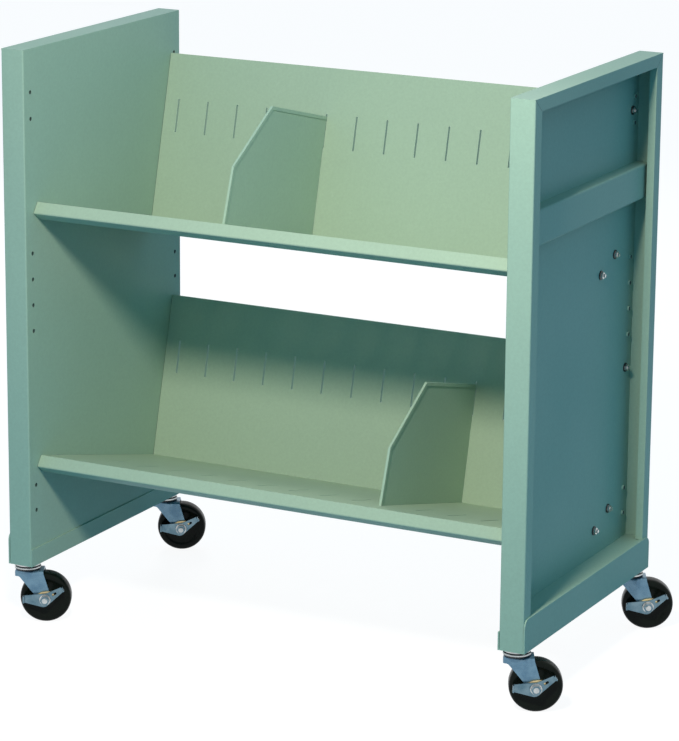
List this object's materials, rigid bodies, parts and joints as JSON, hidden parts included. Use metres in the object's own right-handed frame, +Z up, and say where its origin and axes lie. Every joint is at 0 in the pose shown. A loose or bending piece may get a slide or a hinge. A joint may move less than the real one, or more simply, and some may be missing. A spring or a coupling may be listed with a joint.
{
  "type": "file cart",
  "caption": "Wheeled sheet metal file cart with two tilted shelves, slotted backs and lift-off dividers between tall tray-shaped ends on braked swivel casters.",
  "frame": {"origin": "middle of the footprint on the floor: centre of the outer box at its lowest face, with the four casters turned as in the picture", "axes": "+X to the right seen from the open front, +Y to the rear, +Z up"},
  "size_m": [0.8717, 0.4639, 0.851],
  "materials": {
    "right_end_panel": "satin",
    "right_mid_rail": "satin",
    "right_base_channel": "satin",
    "right_caster_rail": "satin",
    "left_end_panel": "satin",
    "left_mid_rail": "satin",
    "left_base_channel": "satin",
    "left_caster_rail": "satin",
    "upper_shelf": "satin",
    "upper_back": "satin",
    "upper_divider": "satin",
    "lower_shelf": "satin",
    "lower_back": "satin",
    "lower_divider": "satin",
    "caster_stems": "zinc plated",
    "caster_nuts": "zinc plated",
    "swivel_races": "gloss",
    "front_left_fork": "blue zinc plated",
    "front_left_axle_bolt": "zinc plated",
    "front_left_wheel": "hard, smooth",
    "front_left_brake_lever": "bright zinc plated",
    "front_left_brake_cam": "yellow zinc plated",
    "front_right_fork": "blue zinc plated",
    "front_right_axle_bolt": "zinc plated",
    "front_right_wheel": "hard, smooth",
    "front_right_brake_lever": "bright zinc plated",
    "front_right_brake_cam": "yellow zinc plated",
    "rear_left_fork": "blue zinc plated",
    "rear_left_axle_bolt": "zinc plated",
    "rear_left_wheel": "hard, smooth",
    "rear_left_brake_lever": "bright zinc plated",
    "rear_left_brake_cam": "yellow zinc plated",
    "rear_right_fork": "blue zinc plated",
    "rear_right_axle_bolt": "zinc plated",
    "rear_right_wheel": "hard, smooth",
    "rear_right_brake_lever": "bright zinc plated",
    "rear_right_brake_cam": "yellow zinc plated"
  },
  "bodies": {
    "cart": {"right_end_panel": "right_end_panel", "right_mid_rail": "right_mid_rail", "right_base_channel": "right_base_channel", "right_caster_rail": "right_caster_rail", "left_end_panel": "left_end_panel", "left_mid_rail": "left_mid_rail", "left_base_channel": "left_base_channel", "left_caster_rail": "left_caster_rail", "upper_shelf": "upper_shelf", "upper_back": "upper_back", "lower_shelf": "lower_shelf", "lower_back": "lower_back", "caster_stems": "caster_stems", "caster_nuts": "caster_nuts", "swivel_races": "swivel_races"},
    "front_left_swivel": {"front_left_fork": "front_left_fork", "front_left_axle_bolt": "front_left_axle_bolt"},
    "front_left_roller": {"front_left_wheel": "front_left_wheel"},
    "front_left_brake": {"front_left_brake_lever": "front_left_brake_lever", "front_left_brake_cam": "front_left_brake_cam"},
    "front_right_swivel": {"front_right_fork": "front_right_fork", "front_right_axle_bolt": "front_right_axle_bolt"},
    "front_right_roller": {"front_right_wheel": "front_right_wheel"},
    "front_right_brake": {"front_right_brake_lever": "front_right_brake_lever", "front_right_brake_cam": "front_right_brake_cam"},
    "rear_left_swivel": {"rear_left_fork": "rear_left_fork", "rear_left_axle_bolt": "rear_left_axle_bolt"},
    "rear_left_roller": {"rear_left_wheel": "rear_left_wheel"},
    "rear_left_brake": {"rear_left_brake_lever": "rear_left_brake_lever", "rear_left_brake_cam": "rear_left_brake_cam"},
    "rear_right_swivel": {"rear_right_fork": "rear_right_fork", "rear_right_axle_bolt": "rear_right_axle_bolt"},
    "rear_right_roller": {"rear_right_wheel": "rear_right_wheel"},
    "rear_right_brake": {"rear_right_brake_lever": "rear_right_brake_lever", "rear_right_brake_cam": "rear_right_brake_cam"},
    "upper_plate": {"upper_divider": "upper_divider"},
    "lower_plate": {"lower_divider": "lower_divider"}
  },
  "joints": [
    {"name": "front_left_swivel_turn", "type": "hinge", "parent": "cart", "child": "front_left_swivel", "pos_m": [-0.41601, -0.20536, 0.089], "axis": [0, 0, 1], "continuous": true},
    {"name": "front_left_wheel_spin", "type": "hinge", "parent": "front_left_swivel", "child": "front_left_roller", "pos_m": [-0.39256, -0.19347, 0.0375], "axis": [-0.4524, 0.8918, 0], "continuous": true},
    {"name": "front_left_brake_press", "type": "hinge", "parent": "front_left_swivel", "child": "front_left_brake", "pos_m": [-0.39256, -0.19347, 0.0375], "axis": [-0.4524, 0.8918, 0], "range_deg": [0, 31]},
    {"name": "front_right_swivel_turn", "type": "hinge", "parent": "cart", "child": "front_right_swivel", "pos_m": [0.37349, -0.20536, 0.089], "axis": [0, 0, 1], "continuous": true},
    {"name": "front_right_wheel_spin", "type": "hinge", "parent": "front_right_swivel", "child": "front_right_roller", "pos_m": [0.39694, -0.19347, 0.0375], "axis": [-0.4524, 0.8918, 0], "continuous": true},
    {"name": "front_right_brake_press", "type": "hinge", "parent": "front_right_swivel", "child": "front_right_brake", "pos_m": [0.39694, -0.19347, 0.0375], "axis": [-0.4524, 0.8918, 0], "range_deg": [0, 31]},
    {"name": "rear_left_swivel_turn", "type": "hinge", "parent": "cart", "child": "rear_left_swivel", "pos_m": [-0.41601, 0.19223, 0.089], "axis": [0, 0, 1], "continuous": true},
    {"name": "rear_left_wheel_spin", "type": "hinge", "parent": "rear_left_swivel", "child": "rear_left_roller", "pos_m": [-0.39256, 0.20413, 0.0375], "axis": [-0.4524, 0.8918, 0], "continuous": true},
    {"name": "rear_left_brake_press", "type": "hinge", "parent": "rear_left_swivel", "child": "rear_left_brake", "pos_m": [-0.39256, 0.20413, 0.0375], "axis": [-0.4524, 0.8918, 0], "range_deg": [0, 31]},
    {"name": "rear_right_swivel_turn", "type": "hinge", "parent": "cart", "child": "rear_right_swivel", "pos_m": [0.37349, 0.19223, 0.089], "axis": [0, 0, 1], "continuous": true},
    {"name": "rear_right_wheel_spin", "type": "hinge", "parent": "rear_right_swivel", "child": "rear_right_roller", "pos_m": [0.39694, 0.20413, 0.0375], "axis": [-0.4524, 0.8918, 0], "continuous": true},
    {"name": "rear_right_brake_press", "type": "hinge", "parent": "rear_right_swivel", "child": "rear_right_brake", "pos_m": [0.39694, 0.20413, 0.0375], "axis": [-0.4524, 0.8918, 0], "range_deg": [0, 31]},
    {"name": "upper_divider_unhook", "type": "slide", "parent": "cart", "child": "upper_plate", "axis": [0, -0.9703, 0.2419], "range_m": [0, 0.012]},
    {"name": "lower_divider_unhook", "type": "slide", "parent": "cart", "child": "lower_plate", "axis": [0, -0.9703, 0.2419], "range_m": [0, 0.012]}
  ]
}
